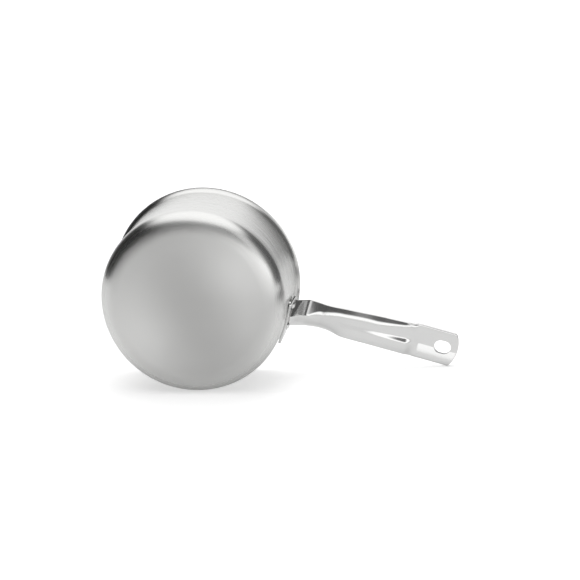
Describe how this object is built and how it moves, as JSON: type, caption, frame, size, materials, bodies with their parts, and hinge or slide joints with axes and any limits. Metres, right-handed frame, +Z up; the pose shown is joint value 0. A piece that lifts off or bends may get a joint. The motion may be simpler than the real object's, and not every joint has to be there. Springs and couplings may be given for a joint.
{
  "type": "saucepan",
  "caption": "Small straight-walled steel saucepan with a turned-out rim and a riveted hollow tube handle that ends in a flat tail with a hanging hole.",
  "frame": {"origin": "centre of the underside of the flat base", "axes": "+Z up along the pan's axis from the base to the rim, +X along the handle away from the pan"},
  "size_m": [0.301, 0.16, 0.0914],
  "materials": {
    "outer_steel": "satin",
    "core_aluminium": "satin",
    "inner_steel": "satin",
    "plate_steel": "satin",
    "rivet_steel": "polished",
    "handle_steel": "polished",
    "weld_steel": "satin"
  },
  "bodies": {
    "root": {"outer_steel_shell": "outer_steel", "aluminium_core": "core_aluminium", "inner_steel_shell": "inner_steel", "saddle_plate": "plate_steel", "rivets": "rivet_steel", "handle_tube": "handle_steel", "weld_bead": "weld_steel"}
  },
  "joints": []
}
